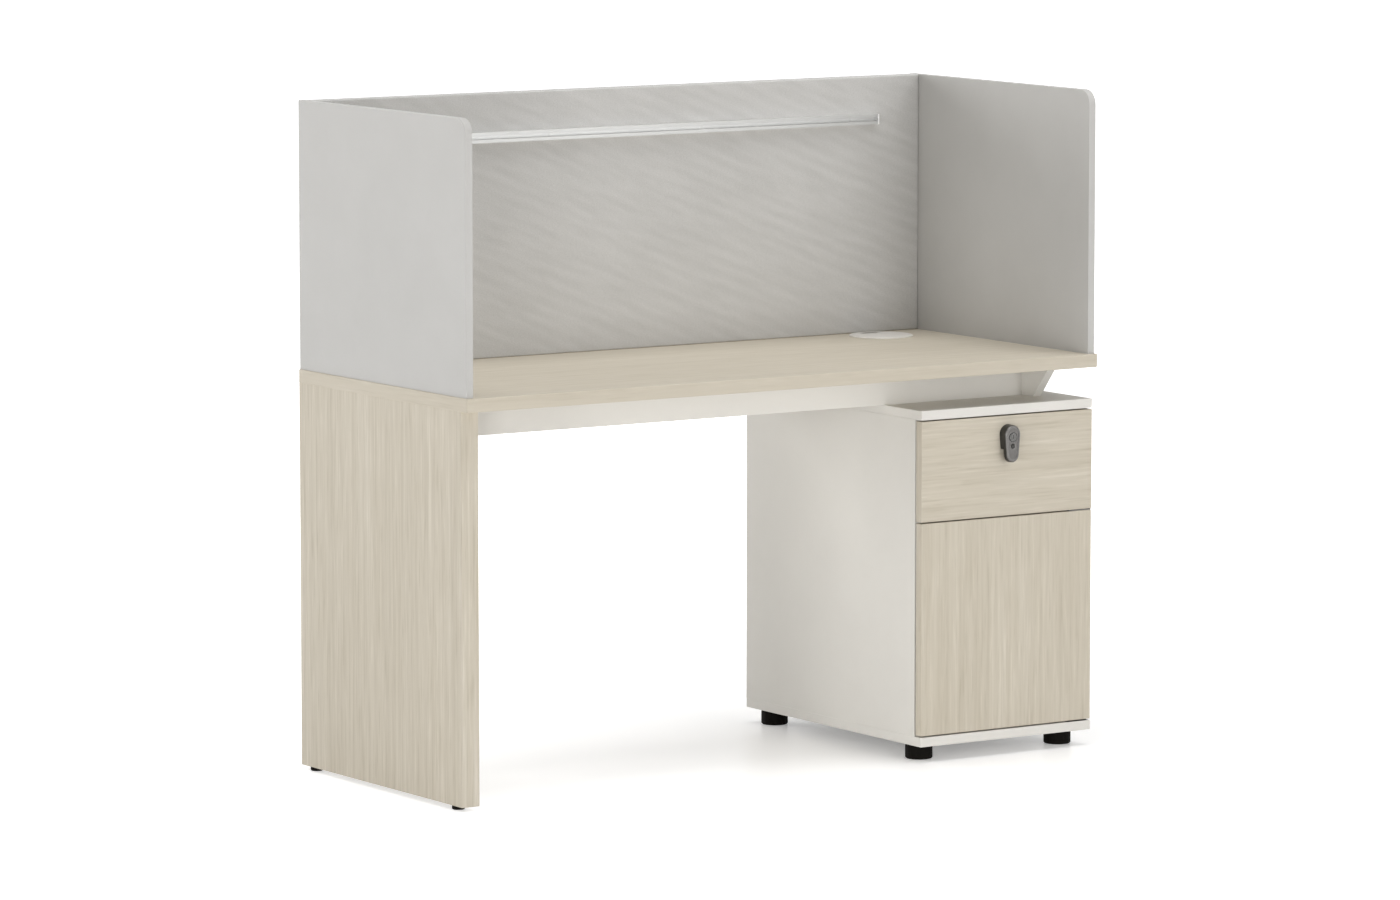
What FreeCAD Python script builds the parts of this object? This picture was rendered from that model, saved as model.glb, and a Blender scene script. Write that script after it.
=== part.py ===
import FreeCAD, Part
import math
import os

os.makedirs("parts", exist_ok=True)
V = FreeCAD.Vector

# Desktop and left end panel
desk_length = 1400.0
desk_depth = 600.0
desk_height = 750.0
top_thick = 25.0
top_corner = 4.0
band = 2.0
band_ease = 0.8
ease = 1.0
leg_thick = 36.0
leg_inset = 1.0
leg_front_inset = 23.0
leg_rear_inset = 1.0
glide_height = 7.5
glide_r = 12.0
glide_shank_r = 4.0
glide_shank = 18.0
glide_chamfer = 1.5
glide_point = 2.0
glide_from_end = 35.0
glide_from_face = 12.5

# Under frame
board = 18.0
beam_tall = 60.0
front_beam_inset = 131.0
rear_beam_inset = 20.0
gusset_inset = 57.0
gusset_top_inset = 45.0
gusset_foot_inset = 95.0
gusset_rear_inset = 20.0

# Screens and accessory rail
screen_height = 500.0
screen_inset = 3.0
side_thick = 15.0
side_front_inset = 8.0
side_rear_inset = 1.0
side_corner = 28.0
back_thick = 30.0
back_rear_inset = 4.0
cover_thick = 2.0
cover_ease = 1.4
rail_rise = 407.0
rail_tall = 20.0
rail_deep = 12.0
rail_wall = 2.0
rail_mouth = 7.0
rail_end_inset = 105.0
rail_cap = 3.0
rail_cap_ease = 0.8
rail_screw_count = 4
rail_screw_end = 60.0

# Cable grommet
grommet_from_right = 152.0
grommet_from_rear = 100.0
grommet_flange_r = 62.0
grommet_hole_r = 53.0
grommet_wall = 2.5
grommet_lip = 2.5
grommet_chamfer = 2.0
grommet_seat = 1.0
grommet_notch_wide = 40.0
grommet_notch_deep = 20.0

# Pedestal
ped_width = 395.0
ped_inset = 7.0
ped_rear_inset = 4.0
front_set_back = 8.0
front_thick = 18.0
front_gap = 3.0
reveal = 2.5
drawer_front_tall = 189.5
back_board = 6.0
back_inset = 12.0
groove = 6.0
shelf_share = 0.49
shelf_front_inset = 30.0
shelf_play = 1.0
shelf_pin_r = 2.5
shelf_pin_out = 9.0
shelf_pin_in = 9.0
shelf_pin_front = 90.0
shelf_pin_rear = 70.0
foot_height = 30.0
foot_r = 26.0
foot_chamfer = 2.0
foot_shoulder = 6.0
foot_inset_x = 36.0
foot_inset_front = 57.0
foot_inset_rear = 45.0

# Drawer box and three-member ball slides
slide_space = 13.0
drawer_wall = 12.0
drawer_tall = 130.0
drawer_long = 470.0
drawer_rise = 17.0
drawer_floor = 6.0
drawer_floor_inset = 1.0
slide_long = 450.0
slide_steel = 1.2
slide_half = 22.5
slide_front_inset = 2.0
slide_mid_offset = 3.6
slide_flange = 9.4
slide_inner_flange = 7.4
slide_ball_r = 2.0
slide_ball_room = 3.0
slide_ball_count = 5
slide_row_outer = 6.8
slide_row_inner = 8.2
slide_travel = 420.0
slide_cage = 0.5
slide_cage_play = 0.15
slide_cage_edge = 2.6
slide_cage_margin = 10.0
slide_screw_front = 40.0
slide_screw_rear = 60.0

# Drawer lock
lock_wide = 37.0
lock_tip_wide = 30.0
lock_tall = 72.0
lock_deep = 19.0
lock_drop = 16.0
lock_axis_drop = 5.0
lock_rim = 2.5
lock_sink = 1.2
lock_finger_gap = 9.0
lock_finger_tall = 26.0
lock_chamfer = 3.0
lock_scoop_r = 6.5
lock_scoop_drop = 17.0
lock_scoop_deep = 3.0
lock_seat_r = 9.5
lock_seat_deep = 1.2
barrel_r = 10.0
plug_r = 7.5
barrel_past = 7.0
nut_flat = 26.0
nut_thick = 4.0
cam_long = 35.0
cam_wide = 12.0
cam_thick = 2.0
tang = 7.0
key_wide = 1.6
key_tall = 8.0
key_deep = 9.0
plug_recess = 0.6
cam_gap = 0.3
cam_boss_r = 8.0
cam_screw_r = 2.0
cam_screw_head_r = 6.0
cam_screw_head = 2.2
cam_screw_in = 6.0
strike_wide = 44.0
strike_thick = 1.5
strike_tall = 18.0
strike_deep = 26.0
strike_screw_edge = 8.0
strike_play = 0.7

# Door hinge leaves and push latch
door_ease = 2.0
hinge_from_edge = 6.0
hinge_leaf = 1.5
hinge_play = 0.4
hinge_pin_r = 2.5
hinge_pin_in = 14.0
bush_r = 4.0
leaf_long = 52.0
leaf_back = 40.0
leaf_play = 1.0
leaf_screw_edge = 11.0
leaf_screw_side = 18.0
latch_from_side = 30.0
latch_wide = 16.0
latch_tall = 16.0
latch_long = 60.0
latch_front_inset = 10.0
plunger_r = 4.0
plunger_in = 40.0
plunger_stroke = 4.0
keeper_size = 18.0
keeper_thick = 1.0

# Fasteners and fits
fit = 0.05
touch_gap = 0.1
dowel_r = 4.0
dowel_half = 12.0
end_play = 0.5
leg_dowel_margin = 70.0
gusset_dowel_front = 70.0
gusset_dowel_rear = 260.0
beam_dowel_left = 120.0
beam_dowel_right = 160.0
beam_dowel_edge = 15.0
screen_dowel_front = 90.0
screen_dowel_rear = 110.0
screen_dowel_end = 60.0
back_dowel_end = 90.0
carcass_dowel_margin = 60.0
drawer_dowel_low = 35.0
drawer_dowel_high = 25.0
drawer_dowel_r = 3.0
screw_r = 1.75
screw_long = 14.0
drawer_screw_long = 11.0
screw_head_r = 3.4
screw_head = 1.6
screw_head_rim = 0.5
screw_point = 3.0
bolt_r = 3.0
bolt_head_r = 6.0
bolt_head = 4.0
bolt_in = 25.0
bolt_from_front = 30.0
bolt_from_rear = 80.0
foot_screw_r = 2.5
foot_screw_head_r = 5.0
foot_screw_head = 4.0
foot_sink = 14.0
foot_sink_r = 7.0
foot_screw_in = 12.0

# Derived planes, with the origin under the middle of the whole footprint
lock_ahead = lock_deep - front_set_back
front_y = (lock_ahead - desk_depth) / 2
rear_y = front_y + desk_depth
half_x = desk_length / 2
top_z0 = desk_height - top_thick
leg_x0 = leg_inset - half_x
leg_x1 = leg_x0 + leg_thick
leg_y0 = front_y + leg_front_inset
leg_y1 = rear_y - leg_rear_inset
ped_x1 = half_x - ped_inset
ped_x0 = ped_x1 - ped_width
ped_mid_x = (ped_x0 + ped_x1) / 2
ped_y0 = front_y + front_set_back
ped_y1 = rear_y - ped_rear_inset
ped_z0 = foot_height
ped_z1 = top_z0 - beam_tall
inner_x0 = ped_x0 + board
inner_x1 = ped_x1 - board
carcass_y0 = ped_y0 + front_thick + front_gap
front_back_y = ped_y0 + front_thick
floor_z = ped_z0 + board
ceiling_z = ped_z1 - board
drawer_z1 = ceiling_z - reveal
drawer_z0 = drawer_z1 - drawer_front_tall
door_z0 = floor_z + reveal
door_z1 = drawer_z0 - reveal
divider_z1 = door_z1 + hinge_play
divider_z0 = divider_z1 - board
back_board_y1 = ped_y1 - back_inset
back_board_y0 = back_board_y1 - back_board
gusset_x1 = ped_x1 - gusset_inset
gusset_x0 = gusset_x1 - board
front_beam_y = front_y + front_beam_inset
rear_beam_y = rear_y - rear_beam_inset - board
side_out = half_x - screen_inset
side_in = side_out - side_thick
side_y0 = front_y + side_front_inset
side_y1 = rear_y - side_rear_inset
screen_z1 = desk_height + screen_height
back_y1 = rear_y - back_rear_inset
back_y0 = back_y1 - back_thick
rail_z0 = desk_height + rail_rise
rail_x1 = side_in - rail_end_inset
grommet_x = half_x - grommet_from_right
grommet_y = rear_y - grommet_from_rear
shelf_z0 = floor_z + shelf_share * (divider_z0 - floor_z)
box_x0 = inner_x0 + slide_space
box_x1 = inner_x1 - slide_space
box_z0 = divider_z1 + drawer_rise
box_z1 = box_z0 + drawer_tall
box_y1 = front_back_y + drawer_long
tray_z0 = box_z0 + groove
slide_z = (box_z0 + box_z1) / 2
slide_y0 = carcass_y0 + slide_front_inset
lock_head_z = drawer_z1 - lock_drop - lock_wide / 2
lock_z = lock_head_z - lock_axis_drop
lock_face_y = ped_y0 - lock_deep
barrel_y1 = front_back_y + barrel_past
hinge_x = ped_x1 - hinge_from_edge
hinge_y = ped_y0 + front_thick / 2
latch_x = inner_x0 + latch_from_side
latch_y0 = carcass_y0 + latch_front_inset
latch_z = divider_z0 - latch_tall / 2
keeper_y = front_back_y + keeper_thick
strike_y = barrel_y1 - strike_thick - strike_play


def export(name, *solids):
    shape = solids[0] if len(solids) == 1 else Part.makeCompound(list(solids))
    shape.exportStep("parts/" + name + ".step")


def block(x0, x1, y0, y1, z0, z1):
    return Part.makeBox(x1 - x0, y1 - y0, z1 - z0, V(x0, y0, z0))


def eased(shape, radius=ease):
    return shape.makeFillet(radius, shape.Edges)


def rod(start, axis, radius, length):
    return Part.makeCylinder(radius, length, start, axis)


def outline(points):
    return Part.Face(Part.makePolygon(points + points[:1]))


def turned(profile, start, axis):
    """Solid of revolution of (radius, height) points, placed at start along axis."""
    face = outline([V(r, 0, h) for r, h in profile])
    solid = face.revolve(V(0, 0, 0), V(0, 0, 1), 360)
    solid.Placement = FreeCAD.Placement(start, FreeCAD.Rotation(V(0, 0, 1), axis))
    return solid


def mirrored(shape):
    """Mirror image about the upright middle plane of the pedestal."""
    return shape.mirror(V(ped_mid_x, 0, 0), V(1, 0, 0))


def spread(low, high, count):
    step = (high - low) / (count - 1)
    return [low + step * i for i in range(count)]


def cut_all(shape, cutters):
    return shape.cut(Part.makeCompound(cutters))


X = V(1, 0, 0)
Y = V(0, 1, 0)
Z = V(0, 0, 1)


class Dowels:
    """Dowels centred on the joint faces, with the holes that take them."""

    def __init__(self, radius):
        self.radius = radius
        self.pegs = []
        self.holes = []

    def add(self, x, y, z, axis):
        middle = V(x, y, z)
        reach = dowel_half + end_play
        self.pegs.append(rod(middle - axis * dowel_half, axis, self.radius, 2 * dowel_half))
        self.holes.append(rod(middle - axis * reach, axis, self.radius + fit, 2 * reach))

    def bored(self, shape):
        return cut_all(shape, self.holes)


class Screws:
    """Flat-headed screws whose heads stand at a face, with their holes."""

    def __init__(self, long):
        self.long = long
        self.bodies = []
        self.holes = []

    def add(self, head, axis):
        """head is the middle of the head's outer face; axis runs into the board."""
        profile = [(0, 0), (screw_head_r, 0), (screw_head_r, screw_head_rim), (screw_r, screw_head)]
        profile += [(screw_r, self.long - screw_point), (0, self.long)]
        self.bodies.append(turned(profile, head, axis))
        deep = self.long + end_play
        room = [(0, 0), (screw_head_r + fit, 0), (screw_head_r + fit, screw_head_rim + fit)]
        room += [(screw_r + fit, screw_head + fit), (screw_r + fit, deep), (0, deep)]
        self.holes.append(turned(room, head, axis))

    def bored(self, shape):
        return cut_all(shape, self.holes)


desk_dowels = Dowels(dowel_r)
carcass_dowels = Dowels(dowel_r)
drawer_dowels = Dowels(drawer_dowel_r)
hardware = Screws(screw_long)


def place_hardware():
    for x in spread(rail_screw_end - rail_x1, rail_x1 - rail_screw_end, rail_screw_count):
        hardware.add(V(x, back_y0 - rail_wall, rail_z0 + rail_tall / 2), Y)
    add_slide_screws(hardware, inner_x0 + slide_steel + screw_head, -1)
    reach = strike_wide / 2 - strike_screw_edge
    for x in (ped_mid_x - reach, ped_mid_x + reach):
        hardware.add(V(x, strike_y + strike_deep - strike_screw_edge, ceiling_z - strike_thick), Z)
    for y in spread(carcass_y0 + leaf_screw_edge, carcass_y0 + leaf_back - leaf_screw_edge, 2):
        for z in (divider_z1 + hinge_leaf, floor_z):
            hardware.add(V(inner_x1 - leaf_screw_side, y, z), Z * -1)


def place_desk_dowels():
    for y in spread(leg_y0 + leg_dowel_margin, leg_y1 - leg_dowel_margin, 3):
        desk_dowels.add((leg_x0 + leg_x1) / 2, y, top_z0, Z)
    gusset_y0 = front_y + gusset_foot_inset + gusset_dowel_front
    for y in spread(gusset_y0, rear_y - gusset_rear_inset - gusset_dowel_rear, 2):
        desk_dowels.add((gusset_x0 + gusset_x1) / 2, y, top_z0, Z)
    for beam_y in (front_beam_y, rear_beam_y):
        middle_y = beam_y + board / 2
        for x in spread(leg_x1 + beam_dowel_left, gusset_x0 - beam_dowel_right, 4):
            desk_dowels.add(x, middle_y, top_z0, Z)
        for x in (leg_x1, gusset_x0):
            for z in spread(ped_z1 + beam_dowel_edge, top_z0 - beam_dowel_edge, 2):
                desk_dowels.add(x, middle_y, z, X)
    for side in (-1, 1):
        for y in spread(side_y0 + screen_dowel_front, side_y1 - screen_dowel_rear, 3):
            desk_dowels.add(side * (side_in + side_out) / 2, y, desk_height, Z)
        for z in spread(desk_height + screen_dowel_end, screen_z1 - screen_dowel_end, 3):
            desk_dowels.add(side * side_in, (back_y0 + back_y1) / 2, z, X)
    for x in spread(back_dowel_end - side_in, side_in - back_dowel_end, 4):
        desk_dowels.add(x, (back_y0 + back_y1) / 2, desk_height, Z)


def place_carcass_dowels():
    for x in (ped_x0 + board / 2, ped_x1 - board / 2):
        for z in (floor_z, ceiling_z):
            for y in spread(carcass_y0 + carcass_dowel_margin, ped_y1 - carcass_dowel_margin, 3):
                carcass_dowels.add(x, y, z, Z)
    for x in (inner_x0, inner_x1):
        for y in spread(carcass_y0 + carcass_dowel_margin, back_board_y0 - carcass_dowel_margin, 2):
            carcass_dowels.add(x, y, (divider_z0 + divider_z1) / 2, X)


def place_drawer_dowels():
    for x in (box_x0 + drawer_wall / 2, box_x1 - drawer_wall / 2):
        for z in spread(box_z0 + drawer_dowel_low, box_z1 - drawer_dowel_high, 2):
            drawer_dowels.add(x, front_back_y, z, Y)
    for x in (box_x0 + drawer_wall, box_x1 - drawer_wall):
        for z in spread(box_z0 + drawer_dowel_low, box_z1 - drawer_dowel_high, 2):
            drawer_dowels.add(x, box_y1 - drawer_wall / 2, z, X)


def round_plate(x0, x1, y0, y1, z0, z1, radius):
    plate = block(x0, x1, y0, y1, z0, z1)
    corners = [e for e in plate.Edges if abs(e.tangentAt(e.FirstParameter).z) > 0.9]
    return plate.makeFillet(radius, corners)


def make_desktop():
    outer = round_plate(-half_x, half_x, front_y, rear_y, top_z0, desk_height, top_corner)
    core = round_plate(band - half_x, half_x - band, front_y + band, rear_y - band,
                       top_z0, desk_height, top_corner - band)
    rims = [e for e in outer.Edges if abs(e.tangentAt(e.FirstParameter).z) < 0.1]
    ring = outer.makeFillet(ease, rims).cut(core)
    hole = rod(V(grommet_x, grommet_y, top_z0), Z, grommet_hole_r, top_thick)
    export("desktop_board", desk_dowels.bored(core.cut(hole)))
    export("desktop_edging", ring)


def make_end_panel():
    core = block(leg_x0, leg_x1, leg_y0 + band, leg_y1 - band, glide_height, top_z0)
    strips = []
    for y in (leg_y0, leg_y1 - band):
        strips.append(eased(block(leg_x0, leg_x1, y, y + band, glide_height, top_z0), band_ease))
    glides = []
    holes = []
    glide_x = leg_x0 + glide_from_face
    for y in (leg_y0 + glide_from_end, leg_y1 - glide_from_end):
        profile = [(0, 0), (glide_r - glide_chamfer, 0), (glide_r, glide_chamfer), (glide_r, glide_height)]
        profile += [(glide_shank_r, glide_height), (glide_shank_r, glide_height + glide_shank)]
        profile += [(0, glide_height + glide_shank + glide_point)]
        glides.append(turned(profile, V(glide_x, y, 0), Z))
        deep = glide_shank + glide_point + end_play
        holes.append(rod(V(glide_x, y, glide_height), Z, glide_shank_r + fit, deep))
    export("end_panel", desk_dowels.bored(cut_all(core, holes)))
    export("end_panel_edging", *strips)
    export("end_glides", *glides)


def make_beams():
    for name, y in (("front_beam", front_beam_y), ("rear_beam", rear_beam_y)):
        beam = block(leg_x1, gusset_x0, y, y + board, ped_z1, top_z0)
        export(name, desk_dowels.bored(beam))


def make_gusset():
    rear = rear_y - gusset_rear_inset
    side = [V(gusset_x0, front_y + gusset_foot_inset, ped_z1), V(gusset_x0, rear, ped_z1)]
    side += [V(gusset_x0, rear, top_z0), V(gusset_x0, front_y + gusset_top_inset, top_z0)]
    plate = outline(side).extrude(V(board, 0, 0))
    holes = []
    bolts = []
    middle_x = (gusset_x0 + gusset_x1) / 2
    for y in spread(front_y + gusset_foot_inset + bolt_from_front, rear - bolt_from_rear, 3):
        profile = [(0, 0), (bolt_head_r, 0), (bolt_head_r, bolt_head), (bolt_r, bolt_head)]
        profile += [(bolt_r, bolt_head + board + bolt_in), (0, bolt_head + board + bolt_in)]
        start = V(middle_x, y, ceiling_z - bolt_head)
        bolts.append(turned(profile, start, Z))
        holes.append(rod(start, Z, bolt_r + fit, bolt_head + board + bolt_in + end_play))
    export("gusset", desk_dowels.bored(cut_all(plate, holes)))
    export("gusset_bolts", *bolts)
    return holes


def side_screen(sign):
    points = [V(0, side_y0, desk_height), V(0, side_y1, desk_height)]
    points += [V(0, side_y1, screen_z1), V(0, side_y0, screen_z1)]
    start = side_in if sign > 0 else -side_out
    plate = outline(points).extrude(V(side_thick, 0, 0))
    plate.translate(V(start, 0, 0))
    corner = [e for e in plate.Edges if abs(e.tangentAt(e.FirstParameter).x) > 0.9
              and e.CenterOfMass.y < side_y0 + 1 and e.CenterOfMass.z > screen_z1 - 1]
    plate = plate.makeFillet(side_corner, corner)
    rims = [e for e in plate.Edges if abs(e.CenterOfMass.x - start - side_thick / 2) > side_thick * 0.4
            and e.CenterOfMass.z > desk_height + 1]
    return desk_dowels.bored(plate.makeFillet(ease, rims))


def make_screens():
    export("left_screen", side_screen(-1))
    export("right_screen", side_screen(1))
    outer = block(-side_in, side_in, back_y0, back_y1, desk_height, screen_z1)
    core = block(cover_thick - side_in, side_in - cover_thick, back_y0 + cover_thick,
                 back_y1 - cover_thick, desk_height, screen_z1 - cover_thick)
    top_rims = [e for e in outer.Edges if e.CenterOfMass.z > screen_z1 - 1
                and abs(e.tangentAt(e.FirstParameter).x) > 0.9]
    cover = outer.makeFillet(cover_ease, top_rims).cut(core)
    export("back_screen_core", hardware.bored(desk_dowels.bored(core)))
    export("back_screen_cover", hardware.bored(desk_dowels.bored(cover)))
    export("accessory_rail", hardware.bored(rail_bar()))
    export("rail_end_caps", rail_end(rail_x1), rail_end(-rail_x1 - rail_cap))


def rail_section(x):
    """Lipped channel section of the rail, open to the front."""
    y0 = back_y0 - rail_deep
    z1 = rail_z0 + rail_tall
    lip = (rail_tall - rail_mouth) / 2
    half = [(y0, rail_z0 + lip), (y0, rail_z0), (back_y0, rail_z0), (back_y0, z1), (y0, z1), (y0, z1 - lip)]
    inner = [(y0 + rail_wall, z1 - lip), (y0 + rail_wall, z1 - rail_wall)]
    inner += [(back_y0 - rail_wall, z1 - rail_wall), (back_y0 - rail_wall, rail_z0 + rail_wall)]
    inner += [(y0 + rail_wall, rail_z0 + rail_wall), (y0 + rail_wall, rail_z0 + lip)]
    return outline([V(x, y, z) for y, z in half + inner])


def rail_bar():
    return rail_section(-rail_x1).extrude(V(2 * rail_x1, 0, 0))


def rail_end(x):
    cap = block(x, x + rail_cap, back_y0 - rail_deep, back_y0, rail_z0, rail_z0 + rail_tall)
    return eased(cap, rail_cap_ease)


def make_grommet():
    middle = V(grommet_x, grommet_y, 0)
    tube_r = grommet_hole_r - fit
    bore_r = tube_r - grommet_wall
    z0 = top_z0 - desk_height
    seat_r = bore_r + grommet_seat
    profile = [(bore_r, z0), (tube_r, z0), (tube_r, 0), (grommet_flange_r, 0)]
    profile += [(grommet_flange_r, grommet_lip / 2), (grommet_flange_r - grommet_chamfer, grommet_lip)]
    profile += [(seat_r, grommet_lip)]
    profile += [(seat_r, -grommet_seat), (bore_r, -grommet_seat)]
    ring = turned(profile, middle + Z * desk_height, Z)
    cap_r = seat_r - touch_gap
    cap_profile = [(0, -grommet_seat), (cap_r, -grommet_seat), (cap_r, grommet_lip), (0, grommet_lip)]
    cap = turned(cap_profile, middle + Z * desk_height, Z)
    notch = block(grommet_x - grommet_notch_wide / 2, grommet_x + grommet_notch_wide / 2,
                  grommet_y + cap_r - grommet_notch_deep, grommet_y + grommet_flange_r,
                  top_z0, desk_height + 2 * grommet_lip)
    export("grommet_ring", ring)
    export("grommet_cap", cap.cut(notch))


def back_groove():
    return block(inner_x0 - groove, inner_x1 + groove, back_board_y0 - fit, back_board_y1 + fit,
                 floor_z - groove, ceiling_z + groove)


def make_carcass(bolt_holes):
    slot = back_groove()
    leaf_room = bottom_leaf_recess()
    screw_room = foot_screws()
    top = eased(block(ped_x0, ped_x1, ped_y0, ped_y1, ceiling_z, ped_z1))
    floor = eased(block(ped_x0, ped_x1, ped_y0, ped_y1, ped_z0, floor_z))
    left = block(ped_x0, inner_x0, carcass_y0, ped_y1, floor_z, ceiling_z)
    right = block(inner_x1, ped_x1, carcass_y0, ped_y1, floor_z, ceiling_z)
    pins = shelf_pin_rods()
    holes = [rod(p, a, shelf_pin_r + fit, shelf_pin_in + end_play) for p, a in pins]
    divider = block(inner_x0, inner_x1, carcass_y0, back_board_y0 - front_gap, divider_z0, divider_z1)
    back = block(inner_x0 - groove + fit, inner_x1 + groove - fit, back_board_y0, back_board_y1,
                 floor_z - groove + fit, ceiling_z + groove - fit)
    export("ped_top", hardware.bored(cut_all(carcass_dowels.bored(top), bolt_holes + [slot])))
    export("ped_bottom", hardware.bored(cut_all(carcass_dowels.bored(floor), [slot, leaf_room] + screw_room)))
    export("ped_side_left", hardware.bored(cut_all(carcass_dowels.bored(left), [slot] + holes)))
    export("ped_side_right", hardware.bored(cut_all(carcass_dowels.bored(right), [slot] + holes)))
    export("ped_divider", hardware.bored(carcass_dowels.bored(divider)))
    export("ped_back", back)
    make_shelf(pins)


def shelf_pin_rods():
    """Start point and inward-to-board axis of each shelf pin."""
    z = shelf_z0 - shelf_pin_r
    pins = []
    for y in (carcass_y0 + shelf_pin_front, back_board_y0 - shelf_pin_rear):
        pins.append((V(inner_x0, y, z), X * -1))
        pins.append((V(inner_x1, y, z), X))
    return pins


def make_shelf(pins):
    shelf = block(inner_x0 + shelf_play, inner_x1 - shelf_play, carcass_y0 + shelf_front_inset,
                  back_board_y0 - shelf_play, shelf_z0, shelf_z0 + board)
    pegs = []
    for start, axis in pins:
        pegs.append(rod(start - axis * shelf_pin_out, axis, shelf_pin_r, shelf_pin_out + shelf_pin_in))
    export("shelf", shelf)
    export("shelf_pins", *pegs)


def foot_centres():
    xs = (ped_x0 + foot_inset_x, ped_x1 - foot_inset_x)
    ys = (ped_y0 + foot_inset_front, ped_y1 - foot_inset_rear)
    return [(x, y) for x in xs for y in ys]


def foot_screws():
    """Make the feet and their screws; returns the holes for the bottom board."""
    feet = []
    screws = []
    holes = []
    for x, y in foot_centres():
        base = V(x, y, 0)
        profile = [(foot_screw_r + fit, foot_sink), (foot_sink_r, foot_sink), (foot_sink_r, 0)]
        profile += [(foot_r - foot_chamfer, 0), (foot_r, foot_chamfer), (foot_r, foot_height - foot_shoulder)]
        profile += [(foot_r - foot_chamfer, foot_height), (foot_screw_r + fit, foot_height)]
        feet.append(turned(profile, base, Z))
        head_z = foot_sink - foot_screw_head
        tip_z = foot_height + foot_screw_in
        bolt = [(0, head_z), (foot_screw_head_r, head_z), (foot_screw_head_r, foot_sink)]
        bolt += [(foot_screw_r, foot_sink), (foot_screw_r, tip_z - foot_screw_r), (0, tip_z)]
        screws.append(turned(bolt, base, Z))
        holes.append(rod(base, Z, foot_screw_r + fit, tip_z + end_play))
    export("feet", *feet)
    export("foot_screws", *screws)
    return holes


def add_slide_screws(screws, head_x, sign):
    """A row of screws in both slides; sign gives the way the left ones point along X."""
    for y in spread(slide_y0 + slide_screw_front, slide_y0 + slide_long - slide_screw_rear, 3):
        screws.add(V(head_x, y, slide_z), X * sign)
        screws.add(V(2 * ped_mid_x - head_x, y, slide_z), X * -sign)


def channel(x_web, x_tip, half, sheet, y0, long):
    """C-shaped sheet section, web at x_web and flanges reaching to x_tip, run along Y."""
    way = 1 if x_tip > x_web else -1
    x_in = x_web + way * sheet
    h = half - sheet
    section = [(x_web, -half), (x_tip, -half), (x_tip, -h), (x_in, -h)]
    section += [(x_in, h), (x_tip, h), (x_tip, half), (x_web, half)]
    face = outline([V(x, y0, slide_z + z) for x, z in section])
    return face.extrude(V(0, long, 0))


def races(x, half):
    """Grooves that the upper and lower ball rows run in."""
    return [rod(V(x, slide_y0, slide_z + z), Y, slide_ball_r + fit, slide_long) for z in (-half, half)]


def cage_and_balls(x_web, x_row, half):
    """Ball cage of one slide level with its two rows of balls."""
    slack = slide_travel / 4 + slide_cage_margin
    y0 = slide_y0 + slack
    long = slide_long - 2 * slack
    cage = channel(x_web, x_row + slide_cage_edge, half + slide_cage / 2, slide_cage, y0, long)
    balls = []
    sockets = []
    for y in spread(y0 + slide_cage_margin, y0 + long - slide_cage_margin, slide_ball_count):
        for z in (slide_z - half, slide_z + half):
            balls.append(Part.makeSphere(slide_ball_r, V(x_row, y, z)))
            sockets.append(rod(V(x_row, y, z - slide_cage), Z, slide_ball_r + fit, 2 * slide_cage))
    return cut_all(cage, sockets), balls


def make_slides(drawer_screws):
    mid_half = slide_half - slide_steel - slide_ball_room
    inner_half = mid_half - slide_steel - slide_ball_room
    row_outer = slide_half - slide_steel - slide_ball_room / 2
    row_inner = mid_half - slide_steel - slide_ball_room / 2
    mid_x = inner_x0 + slide_mid_offset
    races_outer = races(inner_x0 + slide_row_outer, row_outer)
    races_inner = races(inner_x0 + slide_row_inner, row_inner)
    outer = channel(inner_x0, inner_x0 + slide_flange, slide_half, slide_steel, slide_y0, slide_long)
    middle = channel(mid_x, mid_x + slide_inner_flange, mid_half, slide_steel, slide_y0, slide_long)
    inner = channel(box_x0, box_x0 - slide_inner_flange, inner_half, slide_steel, slide_y0, slide_long)
    outer = cut_all(outer, races_outer)
    middle = cut_all(middle, races_outer + races_inner)
    inner = cut_all(inner, races_inner)
    export("slide_outer_left", hardware.bored(outer))
    export("slide_outer_right", hardware.bored(mirrored(outer)))
    export("slide_mid_left", middle)
    export("slide_mid_right", mirrored(middle))
    export("slide_inner_left", drawer_screws.bored(inner))
    export("slide_inner_right", drawer_screws.bored(mirrored(inner)))
    outer_web = mid_x - slide_cage_play - slide_cage
    inner_web = mid_x + slide_steel + slide_cage_play
    levels = [("outer", outer_web, slide_row_outer, row_outer)]
    levels.append(("inner", inner_web, slide_row_inner, row_inner))
    for name, web, row, half in levels:
        cage, balls = cage_and_balls(web, inner_x0 + row, half)
        export("slide_cages_" + name, cage, mirrored(cage))
        export("slide_balls_" + name, *(balls + [mirrored(ball) for ball in balls]))


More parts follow.
